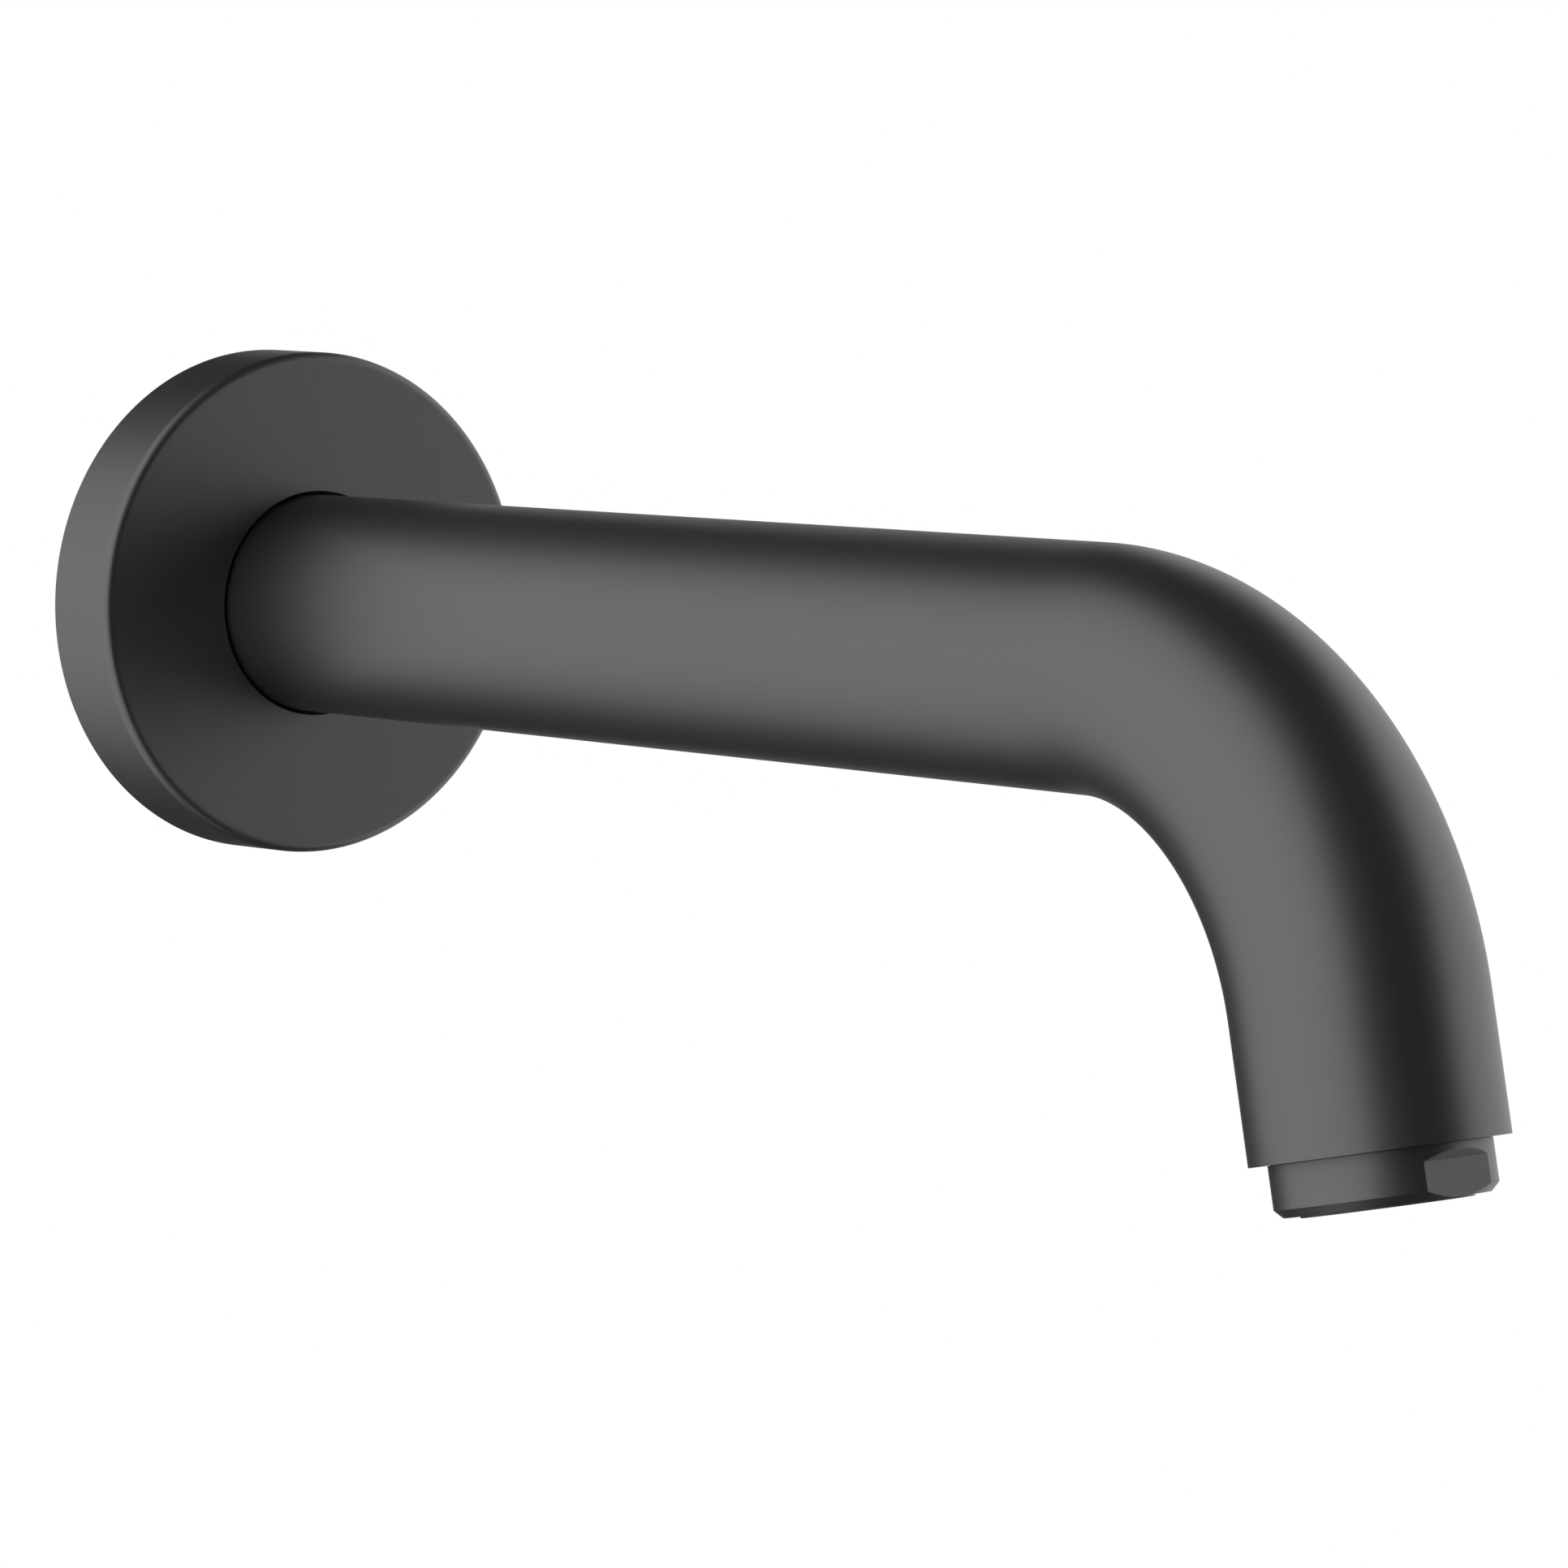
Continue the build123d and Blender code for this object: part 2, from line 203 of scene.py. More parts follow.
# %% Group: soft edges
EDGE_SAMPLES = 4
NO_EDGE, FULL_EDGE = 0.98, 0.75         # how far the rounded normal agrees with the flat one

edge_group, given, result = new_group(
    "soft_edges", {"Radius": 0.15 * MM}, {"Normal": "Vector", "Edge": "Float"})
bevel = add(edge_group, "Bevel", {"Radius": given["Radius"]}, samples=EDGE_SAMPLES).outputs[0]
flat_normal = add(edge_group, "NewGeometry").outputs["Normal"]
agreement = add(edge_group, "VectorMath", {0: bevel, 1: flat_normal}, operation="DOT_PRODUCT")
edge_mask = spread(edge_group, agreement.outputs["Value"], NO_EDGE, FULL_EDGE, 0.0, 1.0)
edge_group.links.new(bevel, result["Normal"])
edge_group.links.new(edge_mask, result["Edge"])
print(edge_group.name, "has", len(edge_group.nodes), "nodes")

# %% [markdown]
# ## Finishes
#
# A Principled shader holds each finish. One helper builds the parts that all of them share:
# the grain as a bump over the softly rounded edges. What differs, such as colour, metal and
# the pattern that the tool left, is added in each finish's own function.

# %% Shared parts of a finish
def start_finish(name, base, metallic, roughness, edge_radius):
    """A material with plain values on its shader and the soft edges placed in its tree."""
    material = bpy.data.materials.new(name)
    material.use_nodes = True
    tree = material.node_tree
    shader = tree.nodes["Principled BSDF"]
    shader.inputs["Base Color"].default_value = base
    shader.inputs["Metallic"].default_value = metallic
    shader.inputs["Roughness"].default_value = roughness
    edges = use(tree, edge_group, {"Radius": edge_radius})
    return material, tree, shader, edges


def bump(tree, shader, height, normal, depth):
    """Feeds a height into the shader's normal, depth metres high."""
    node = add(tree, "Bump", {"Height": height, "Distance": depth, "Normal": normal})
    tree.links.new(node.outputs[0], shader.inputs["Normal"])


# %% [markdown]
# ### Graphite coating
#
# The spout, the flange and the aerator's ring are brass with a thin coating, sprayed or grown
# in a vacuum. It is a dark metal grey that reflects softly: bright broad stripes where it
# faces a window of light, nearly black where it faces the dark. A dark plastic shader would
# show a small white gloss on a black body instead, so the coating is a metal with a dark base
# and a roughness of about 0.4. Up close it has a grain finer than 0.2 mm, faint clouds from
# handling, and edges where the coating lies thinner.

# %% Material: graphite coating
def graphite_coating():
    """Dark metal with a fine grain, faint clouds and slightly paler edges."""
    base = 0.164
    grain_tone, cloud_tone, edge_tone = (0.97, 1.03), (0.99, 1.01), 0.12
    roughness, grain_roughness = (0.41, 0.43), 0.02
    material, tree, shader, edges = start_finish(
        "graphite_coating", grey(base), metallic=1.0, roughness=roughness[1], edge_radius=0.06 * MM)
    grain = use(tree, grain_group, {"Grain Size": 0.16 * MM, "Coarse Share": 0.3})
    clouds = use(tree, handling_group, {"Patch Size": 28 * MM, "Contrast": 0.3})
    grained = between(tree, grain["Mask"], *grain_tone)
    clouded = maths(tree, "MULTIPLY", grained, between(tree, clouds["Mask"], *cloud_tone))
    worn = maths(tree, "MULTIPLY_ADD", edges["Edge"], edge_tone, clouded)
    level = maths(tree, "MULTIPLY", worn, base)
    colour = add(tree, "CombineColor", {0: level, 1: level, 2: level})
    tree.links.new(colour.outputs[0], shader.inputs["Base Color"])
    rough = between(tree, clouds["Mask"], *roughness)
    rough = maths(tree, "MULTIPLY_ADD", grain["Mask"], grain_roughness, rough)
    tree.links.new(rough, shader.inputs["Roughness"])
    bump(tree, shader, grain["Height"], edges["Normal"], depth=0.004 * MM)
    return material


# %% [markdown]
# ### Turned brass
#
# The nipple that stays in the wall is bare brass from a lathe. The tool leaves fine rings
# round the axis, so the height is a noise that changes only along the axis, stretched until
# it reads as rings. Tape and water leave a browner tarnish in patches, and handling keeps
# the crests of the thread bright.

# %% Group: lathe rings
lathe_group, given, result = new_group(
    "lathe_rings", {"Along": 0.0, "Ring Pitch": 0.12 * MM}, {"Height": "Float"})
turns = maths(lathe_group, "DIVIDE", given["Along"], given["Ring Pitch"])
rings = add(lathe_group, "TexNoise", {"W": turns, "Scale": 1.0, "Detail": 3.0}, noise_dimensions="1D")
lathe_group.links.new(rings.outputs[0], result["Height"])
print(lathe_group.name, "has", len(lathe_group.nodes), "nodes")


# %% Material: turned brass
def turned_brass():
    """Bare brass with a lathe's rings, and tarnished patches away from its edges."""
    clean, tarnished = (0.78, 0.6, 0.32, 1.0), (0.42, 0.27, 0.12, 1.0)
    most_tarnish = 0.6
    bright_rough, dull_rough = 0.26, 0.42
    material, tree, shader, edges = start_finish(
        "turned_brass", clean, metallic=1.0, roughness=0.28, edge_radius=0.1 * MM)
    axes = add(tree, "SeparateXYZ", {0: place(tree)}).outputs
    rings = use(tree, lathe_group, {"Along": axes["Y"], "Ring Pitch": 0.14 * MM})
    patches = use(tree, handling_group, {"Patch Size": 7 * MM, "Contrast": 0.35})
    allowed = maths(tree, "MULTIPLY_ADD", edges["Edge"], -most_tarnish, most_tarnish)
    tarnish = maths(tree, "MULTIPLY", patches["Mask"], allowed)
    tree.links.new(blend_colour(tree, tarnish, clean, tarnished), shader.inputs["Base Color"])
    rough = spread(tree, tarnish, 0.0, most_tarnish, bright_rough, dull_rough)
    tree.links.new(rough, shader.inputs["Roughness"])
    bump(tree, shader, rings["Height"], edges["Normal"], depth=0.012 * MM)
    return material


# %% [markdown]
# ### Brushed stainless steel
#
# The grub screw is machined and the two mixing screens are woven from drawn wire. Both are
# small, so one steel finish with a fine grain serves, a little darker in patches.

# %% Material: stainless steel
def stainless_steel():
    """Satin steel with a fine grain and darker patches."""
    dark, light = 0.5, 0.62
    material, tree, shader, edges = start_finish(
        "stainless_steel", grey(0.6), metallic=1.0, roughness=0.3, edge_radius=0.05 * MM)
    grain = use(tree, grain_group, {"Grain Size": 0.08 * MM, "Coarse Share": 0.5})
    patches = use(tree, handling_group, {"Patch Size": 3 * MM, "Contrast": 0.3})
    colour = blend_colour(tree, patches["Mask"], grey(dark), grey(light))
    tree.links.new(colour, shader.inputs["Base Color"])
    tree.links.new(between(tree, grain["Mask"], low=0.26, high=0.36), shader.inputs["Roughness"])
    bump(tree, shader, grain["Height"], edges["Normal"], depth=0.004 * MM)
    return material


# %% [markdown]
# ### Rubber and plastics
#
# Seals are black rubber, the aerator's insert is a white moulded plastic, and the grid that
# the water leaves by is the same plastic in black. None of them is metal: the colour comes
# from inside, with a weak gloss on top. They differ in colour, gloss and grain, so one
# function makes all three from a short table. The white one lets a little light through.

# %% Materials: rubber and plastics
# Grain and depth of the bump are in millimetres, and through is the share of light let in
SOFT_FINISHES = {
    "seal_rubber": dict(
        dark=0.022, light=0.036, tint=(1.0, 1.0, 1.0), rough=(0.55, 0.7),
        grain=0.25, depth=0.012, through=0.0,
    ),
    "white_plastic": dict(
        dark=0.8, light=0.86, tint=(1.0, 1.0, 0.98), rough=(0.34, 0.42),
        grain=0.3, depth=0.005, through=0.08,
    ),
    "black_plastic": dict(
        dark=0.036, light=0.044, tint=(1.0, 1.0, 1.04), rough=(0.3, 0.38),
        grain=0.2, depth=0.004, through=0.0,
    ),
}


def tinted(level, tint):
    """A colour of one brightness, with a slight tint."""
    return [level * part for part in tint] + [1.0]


def moulded(name, dark, light, tint, rough, grain, depth, through):
    """A rubber or plastic that varies from dark to light in slow patches."""
    middle = tinted(0.5 * (dark + light), tint)
    material, tree, shader, edges = start_finish(
        name, middle, metallic=0.0, roughness=rough[0], edge_radius=0.12 * MM)
    shader.inputs["Subsurface Weight"].default_value = through
    shader.inputs["Subsurface Scale"].default_value = 1 * MM
    surface = use(tree, grain_group, {"Grain Size": grain * MM, "Coarse Share": 0.4})
    patches = use(tree, handling_group, {"Patch Size": 5 * MM, "Contrast": 0.3})
    colour = blend_colour(tree, patches["Mask"], tinted(dark, tint), tinted(light, tint))
    tree.links.new(colour, shader.inputs["Base Color"])
    tree.links.new(between(tree, surface["Mask"], *rough), shader.inputs["Roughness"])
    bump(tree, shader, surface["Height"], edges["Normal"], depth * MM)
    return material


# %% [markdown]
# ### The finishes on the frame's nodes
#
# The frame's record says which material slot each node has. Every node gets its finish by that
# list, and so does each piece that is made later, so that both always look alike.

# %% Give every node its finish
finishes = {
    "black_coating": graphite_coating(),
    "bare_brass": turned_brass(),
    "stainless_steel": stainless_steel(),
}
for name, values in SOFT_FINISHES.items():
    finishes[name] = moulded(name, **values)

slot_of = {part["node"]: part["material_slot"] for part in frame["record"]["subparts"]}


def dress(piece, slot):
    """Gives a piece one finish on all its faces."""
    piece.data.materials.clear()
    piece.data.materials.append(finishes[slot])


for name, node in nodes.items():
    dress(node, slot_of[name])
    print(f"{name}: {slot_of[name]}")

# %% [markdown]
# ## Pieces made here
#
# Some pieces are plain in the frame and finer in reality: threads, soft rings and woven wire.
# Each is built as a mesh in its own round frame, with Z along its axis, and then set where its
# node lies. A ring's axis comes from the node itself: its points spread widely across the axis
# and little along it, so the direction of least spread is the axis.

# %% Round frames
def round_frame(node_name):
    """Matrix from a frame whose Z is a flat ring's axis, with the ring's centre as its origin."""
    points = np.array([v.co for v in nodes[node_name].data.vertices])
    points = np.unique(points.round(7), axis=0)
    centre = points.mean(axis=0)
    axis = Vector(np.linalg.svd(points - centre, full_matrices=False)[2][2])
    turn = axis.to_track_quat("Z", "X").to_matrix().to_4x4()
    return Matrix.Translation(centre) @ turn


def sizes_in(node_name, matrix):
    """Smallest and largest radius and height of a node in a round frame."""
    to_round = matrix.inverted()
    points = np.array([to_round @ v.co for v in nodes[node_name].data.vertices])
    radii = np.hypot(points[:, 0], points[:, 1])
    return radii.min(), radii.max(), points[:, 2].min(), points[:, 2].max()


# %% From points to a finished piece
def mesh_from(name, points, faces, matrix):
    """A smooth mesh from points in a round frame."""
    mesh = bpy.data.meshes.new(name)
    mesh.from_pydata([matrix @ Vector(p) for p in points], [], faces)
    mesh.validate()
    mesh.update()
    mesh.shade_smooth()
    return mesh


def finish_piece(name, mesh, *replaced):
    """Links a mesh as a piece that rides on the spout and stands for the named nodes."""
    piece = bpy.data.objects.new(name, mesh)
    scene.collection.objects.link(piece)
    slot = slot_of[replaced[0]]
    dress(piece, slot)
    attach(piece, "root")
    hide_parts(*replaced)
    print(f"{name}: {len(mesh.polygons)} faces, in place of {', '.join(replaced)}")


# %% [markdown]
# ### Meshes from outlines
#
# The frame's meshes are made of flat facets. They hold the true shape to a few hundredths of a
# millimetre, but a satin metal shows every facet as a kink in its outline and its stripes of
# light. Subdividing such a mesh would only divide the flat faces. So the three coated pieces
# that the picture shows are built again, at the frame's sizes, with many more faces.
#
# Two ways make all of them. A skin is laid over rings of points, for what is round, and a
# prism stands on a flat outline, for the tools that cut holes and flats. The cuts are made
# with a boolean, because that gives the exact curve in which a flat meets a cylinder.

# %% Circles, skins and prisms
ROUND_STEPS = 192               # points round each ring


def circle(radius, steps=ROUND_STEPS):
    """Points of a circle, or of a regular polygon where the steps are few."""
    turns = [math.tau * k / steps for k in range(steps)]
    return [(radius * math.cos(turn), radius * math.sin(turn)) for turn in turns]


def skin(rings):
    """Points and faces of a skin over rings of points, with the last ring joined to the first."""
    size = len(rings[0])
    faces = []
    for i in range(len(rings)):
        here, ahead = i * size, (i + 1) % len(rings) * size
        for k in range(size):
            after = (k + 1) % size
            faces.append((here + k, here + after, ahead + after, ahead + k))
    return [point for ring in rings for point in ring], faces


def prism(corners, low, high):
    """Points and faces of a closed prism along Z over a flat outline."""
    size = len(corners)
    points = [(x, y, z) for z in (low, high) for x, y in corners]
    faces = [(k, (k + 1) % size, size + (k + 1) % size, size + k) for k in range(size)]
    return points, faces + [tuple(range(size)), tuple(range(size, 2 * size))]


# %% Closed meshes and cuts
CRISP = math.radians(15)        # sharper corners stay crisp, gentler ones are shaded smooth
CUT_PAST = 2.0                  # millimetres that a cutting tool runs past the metal


def crisp(mesh):
    """Shades a mesh smooth between its crisp corners, with nothing kept of older normals."""
    if "custom_normal" in mesh.attributes:
        mesh.attributes.remove(mesh.attributes["custom_normal"])
    mesh.shade_smooth()
    mesh.set_sharp_from_angle(angle=CRISP)
    return mesh


def closed_mesh(name, points, faces, matrix):
    """A closed mesh from points in a round frame, with its faces turned outward."""
    mesh = mesh_from(name, points, faces, matrix)
    solid = bmesh.new()
    solid.from_mesh(mesh)
    bmesh.ops.recalc_face_normals(solid, faces=solid.faces)
    solid.to_mesh(mesh)
    solid.free()
    return crisp(mesh)


def cut_out(mesh, tool_mesh):
    """Takes one closed mesh out of another, with the exact boolean solver."""
    body = bpy.data.objects.new("cut_body", mesh)
    tool = bpy.data.objects.new("cut_tool", tool_mesh)
    for item in (body, tool):
        scene.collection.objects.link(item)
    modifier = body.modifiers.new("cut", "BOOLEAN")
    modifier.operation, modifier.solver, modifier.object = "DIFFERENCE", "EXACT", tool
    shaped = body.evaluated_get(bpy.context.evaluated_depsgraph_get())
    remaining = bpy.data.meshes.new_from_object(shaped)
    for item in (body, tool):
        bpy.data.objects.remove(item)
    return crisp(remaining)


# %% [markdown]
# ### The tube
#
# A bending machine leads a straight tube round a former. The mesh is made the same way: rings
# of points are set along the tube's middle line, outside on the way out and inside on the way
# back, and a skin is laid over them. Two rings close together where the run meets the bend keep
# the long straight faces free of the bend's shading. The outer edge of the tube's mouth is broken
# by very little, because the seam at the mouth is so fine in the picture.

# %% Sizes of the tube
TUBE_R = 14.0                   # millimetres, as are all sizes of the bent and turned pieces
BORE_R = 13.0
WALL_GAP = 1.0                  # wall to the tube's rear end
RUN = 162.5                     # wall to the start of the bend
BEND_RADIUS = 42.0
FALL = math.radians(78)         # how far the bend turns down
DROP = 15.4                     # end of the bend to the mouth
MOUTH_CHAMFER = 0.04
BEND_STEPS = 52
SUPPORT = 1.0                   # distance of the support rings from the bend
GRUB_HOLE_R = 2.69
GRUB_HOLE_STEPS = 64
GRUB_AT = 5.0                   # wall to the grub screw's axis
BEND_END = RUN + BEND_RADIUS * FALL
MOUTH = BEND_END + DROP
print(f"the middle line is {MOUTH:.1f} mm long")


# %% Build the tube
def station(s):
    """Point of the tube's middle line s from the wall, and how far the tube has turned down there."""
    fall = min(max((s - RUN) / BEND_RADIUS, 0.0), FALL)
    straight, beyond = min(s, RUN), max(s - BEND_END, 0.0)
    out = straight + BEND_RADIUS * math.sin(fall) + beyond * math.cos(fall)
    down = BEND_RADIUS * (1 - math.cos(fall)) + beyond * math.sin(fall)
    return Vector((0, -out, -down)), fall


def tube_ring(s, radius):
    """One ring of points square to the middle line."""
    centre, fall = station(s)
    right, up = Vector((1, 0, 0)), Vector((0, -math.sin(fall), math.cos(fall)))
    return [(centre + radius * (x * right + y * up)) * MM for x, y in circle(1.0)]


bend_places = [RUN + (BEND_END - RUN) * i / BEND_STEPS for i in range(BEND_STEPS + 1)]
places = [WALL_GAP, 2 * GRUB_AT, RUN - SUPPORT] + bend_places + [BEND_END + SUPPORT]
outside = [tube_ring(s, TUBE_R) for s in places + [MOUTH - MOUTH_CHAMFER]]
inside = [tube_ring(s, BORE_R) for s in places + [MOUTH]]
tube_rings = outside + [tube_ring(MOUTH, TUBE_R - MOUTH_CHAMFER)] + inside[::-1]
tube_mesh = closed_mesh("spout_tube_round", *skin(tube_rings), Matrix.Identity(4))

grub_circle = circle(GRUB_HOLE_R * MM, GRUB_HOLE_STEPS)
grub_drill = prism(grub_circle, -(TUBE_R + CUT_PAST) * MM, -(BORE_R - CUT_PAST) * MM)
grub_place = Matrix.Translation((0, -GRUB_AT * MM, 0))
tube_mesh = cut_out(tube_mesh, closed_mesh("grub_drill", *grub_drill, grub_place))
finish_piece("spout_tube_round", tube_mesh, "spout_tube")

# %% [markdown]
# ### The wall flange
#
# The flange is a round cover that hides the hole in the wall. It is turned on a lathe, so its
# mesh is half an outline turned about the axis, with radius first and height from the wall
# second. Only its front edge is rounded, as an arc between two straight runs. One more point
# beyond each end of the arc holds the flat faces flat in the smooth shading.

# %% Turning an outline
ROUNDING_STEPS = 12
ROUNDING_SUPPORT = 0.4          # from an arc's end to the point that holds the flat face


def lathe(name, outline, matrix):
    """A closed mesh turned about Z from an outline of (radius, height) pairs in millimetres."""
    lathe_rings = [[(x, y, z * MM) for x, y in circle(r * MM)] for r, z in outline]
    return closed_mesh(name, *skin(lathe_rings), matrix)


def rounded(before, corner, after, radius):
    """The corner of an outline as an arc, with a supporting point on each side."""
    before, corner, after = Vector(before), Vector(corner), Vector(after)
    u, v = (before - corner).normalized(), (after - corner).normalized()
    half = u.angle(v) / 2
    reach = radius / math.tan(half)
    centre = corner + (u + v).normalized() * radius / math.sin(half)
    start, end = corner + u * reach - centre, corner + v * reach - centre
    swing = math.pi - 2 * half
    arc = []
    for i in range(ROUNDING_STEPS + 1):
        t = i / ROUNDING_STEPS
        arm = start * math.sin(swing * (1 - t)) + end * math.sin(swing * t)
        arc.append(centre + arm / math.sin(swing))
    supported = reach + ROUNDING_SUPPORT
    return [corner + u * supported] + arc + [corner + v * supported]


# %% Wall flange
FLANGE_BACK_R = 32.5
FLANGE_FRONT_R = 32.35
FLANGE_DEPTH = 11.7
FLANGE_HOLE_R = 14.5            # hole for the tube
FLANGE_ROUNDING = 1.1
FLANGE_RIM_R = 29.3             # inside of the rim
WEB_BACK = 9.7
HUB_R, HUB_BACK = 17.4, 6.7
GROOVE_R, GROOVE_BACK, GROOVE_FRONT = 15.9, 7.7, 10.3       # holds the seal on the tube
STEP_R, STEP_DEPTH = 30.9, 2.0  # holds the gasket on the wall

back, front = (FLANGE_BACK_R, 0), (FLANGE_FRONT_R, FLANGE_DEPTH)
hole = (FLANGE_HOLE_R, FLANGE_DEPTH)
flange_outline = [
    (STEP_R, 0), back, *rounded(back, front, hole, FLANGE_ROUNDING), hole,
    (FLANGE_HOLE_R, GROOVE_FRONT), (GROOVE_R, GROOVE_FRONT),
    (GROOVE_R, GROOVE_BACK), (FLANGE_HOLE_R, GROOVE_BACK),
    (FLANGE_HOLE_R, HUB_BACK), (HUB_R, HUB_BACK), (HUB_R, WEB_BACK), (FLANGE_RIM_R, WEB_BACK),
    (FLANGE_RIM_R, STEP_DEPTH), (STEP_R, STEP_DEPTH),
]
wall_frame = Matrix.Rotation(math.radians(90), 4, "X")      # Z comes straight out of the wall
flange_mesh = lathe("wall_flange_round", flange_outline, wall_frame)
finish_piece("wall_flange_round", flange_mesh, "wall_flange")

# %% [markdown]
# ### The aerator's ring
#
# The ring is turned too, about the tube's middle line at the mouth. Then two flats are cut
# into its collar for a spanner, with a slope of 45 degrees where the cutter leaves the metal.
# Its collar starts closer under the mouth than in the frame, again for the fine seam.

# %% The mouth's own frame
mouth_point, mouth_fall = station(MOUTH)
up_the_tube = Vector((0, math.cos(mouth_fall), math.sin(mouth_fall)))
sideways = Vector((1, 0, 0))
mouth_frame = Matrix((sideways, up_the_tube.cross(sideways), up_the_tube)).transposed().to_4x4()
mouth_frame.translation = mouth_point * MM
print("the mouth lies at", [round(part, 4) for part in mouth_frame.translation])

# %% Aerator ring, still without its thread
FLATS = 11.0                    # axis to each flat
FLATS_TOP = -1.7                # where the slope begins, seen from the mouth
THREAD_R = 11.675               # middle of the thread
THREAD_TOP = 7.0
THREAD_CHAMFER = 0.6
COLLAR_R = 11.95
COLLAR_TOP = -0.04              # just below the tube's mouth
COLLAR_CHAMFER = 0.92
COLLAR_FOOT = -5.7
WELL_R = 10.4                   # room for the aerator's insert
LEDGE_R, LEDGE_TOP = 9.65, -4.6  # what the insert stands on

ring_outline = [
    (LEDGE_R, COLLAR_FOOT), (COLLAR_R - COLLAR_CHAMFER, COLLAR_FOOT),
    (COLLAR_R, COLLAR_FOOT + COLLAR_CHAMFER), (COLLAR_R, COLLAR_TOP), (THREAD_R, COLLAR_TOP),
    (THREAD_R, THREAD_TOP - THREAD_CHAMFER), (THREAD_R - THREAD_CHAMFER, THREAD_TOP),
    (WELL_R, THREAD_TOP), (WELL_R, LEDGE_TOP), (LEDGE_R, LEDGE_TOP),
]
ring_mesh = lathe("aerator_housing_round", ring_outline, mouth_frame)
flat_side = [
    (FLATS, COLLAR_FOOT - CUT_PAST), (FLATS + CUT_PAST, COLLAR_FOOT - CUT_PAST),
    (FLATS + CUT_PAST, FLATS_TOP + CUT_PAST), (FLATS, FLATS_TOP),
]
flat_side = [(y * MM, z * MM) for y, z in flat_side]
crossways = Matrix(((0, 0, 1), (1, 0, 0), (0, 1, 0))).to_4x4()      # lays a prism's length along X
for half_turn in (0, math.pi):
    cutter_frame = mouth_frame @ Matrix.Rotation(half_turn, 4, "Z") @ crossways
    cutter = prism(flat_side, -COLLAR_R * MM, COLLAR_R * MM)
    ring_mesh = cut_out(ring_mesh, closed_mesh("flat_cutter", *cutter, cutter_frame))
print("ring:", len(ring_mesh.polygons), "faces before its thread")

# %% [markdown]
# ### The wall nipple
#
# The nipple is screwed into the water pipe in the wall with a hexagon key, and the spout slides
# over it. It is turned from brass with a groove for the grub screw's point and two for rubber
# rings. Its hexagon is cut out with a prism of six sides.

# %% Wall nipple, still without its thread
PIPE_R = 10.4775                # over the crests of its thread
PIPE_END = -13.0                # behind the wall's face
NIPPLE_R, NIPPLE_END = 9.4, 22.0
NIPPLE_BORE_R = 5.8
NIPPLE_CHAMFER = 0.6
POINT_DEPTH = 1.0               # groove for the grub screw's point, with sides of 45 degrees
POINT_FLOOR = 0.65              # half the width of its floor
SEAL_FLOOR_R = 7.8
SEAL_GROOVES = (10.7, 13.3), (15.7, 18.3)
KEY_ACROSS = 12.0               # across the flats of the hexagon
KEY_FLOOR = 13.0

point_r = NIPPLE_R - POINT_DEPTH
point_back, point_front = GRUB_AT - POINT_FLOOR, GRUB_AT + POINT_FLOOR
nipple_outline = [
    (NIPPLE_BORE_R, PIPE_END), (PIPE_R - NIPPLE_CHAMFER, PIPE_END),
    (PIPE_R, PIPE_END + NIPPLE_CHAMFER), (PIPE_R, 0), (NIPPLE_R, 0),
    (NIPPLE_R, point_back - POINT_DEPTH), (point_r, point_back),
    (point_r, point_front), (NIPPLE_R, point_front + POINT_DEPTH),
]
for start, end in SEAL_GROOVES:
    nipple_outline += [(NIPPLE_R, start), (SEAL_FLOOR_R, start), (SEAL_FLOOR_R, end), (NIPPLE_R, end)]
nipple_outline += [
    (NIPPLE_R, NIPPLE_END - NIPPLE_CHAMFER), (NIPPLE_R - NIPPLE_CHAMFER, NIPPLE_END),
    (NIPPLE_BORE_R, NIPPLE_END),
]
key_corner = KEY_ACROSS / 2 / math.cos(math.radians(30))
key_shape = prism(circle(key_corner * MM, 6), KEY_FLOOR * MM, (NIPPLE_END + CUT_PAST) * MM)
key_tool = closed_mesh("key_tool", *key_shape, wall_frame)
nipple_mesh = cut_out(lathe("wall_nipple_round", nipple_outline, wall_frame), key_tool)
print("nipple:", len(nipple_mesh.polygons), "faces before its thread")

# %% [markdown]
# ### Soft rings
#
# An O-ring is round until it is squeezed in its groove, then its section turns into a rounded
# square. A washer is cut from sheet and keeps flat faces with softened corners. Both are the
# same curve with another exponent, |x|^n + |y|^n = 1: n = 2 is a circle, and a large n is
# nearly square. One function revolves that section for all five rings.

# %% Rings of rubber
RING_TURN_STEPS = 144
RING_SECTION_STEPS = 40
RING_SQUARENESS = {
    "nipple_seal_rear": 3.0,
    "nipple_seal_front": 3.0,
    "flange_seal": 3.0,
    "aerator_washer": 9.0,
    "wall_gasket": 9.0,
}


def soft_ring(node_name, squareness):
    """A ring whose section is a rounded square as wide and high as the node's."""
    matrix = round_frame(node_name)
    inner, outer, low, high = sizes_in(node_name, matrix)
    middle_r, middle_z = (inner + outer) / 2, (low + high) / 2
    half_r, half_z = (outer - inner) / 2, (high - low) / 2
    section = []
    for j in range(RING_SECTION_STEPS):
        angle = -math.tau * (j + 0.5) / RING_SECTION_STEPS      # turns so that the skin faces outward
        c, s = math.cos(angle), math.sin(angle)
        reach = (abs(c) ** squareness + abs(s) ** squareness) ** (-1 / squareness)
        section.append((middle_r + half_r * reach * c, middle_z + half_z * reach * s))
    sections = [[(r * x, r * y, z) for r, z in section] for x, y in circle(1.0, RING_TURN_STEPS)]
    mesh = mesh_from(node_name + "_soft", *skin(sections), matrix)
    finish_piece(node_name + "_soft", mesh, node_name)


for node_name, squareness in RING_SQUARENESS.items():
    soft_ring(node_name, squareness)

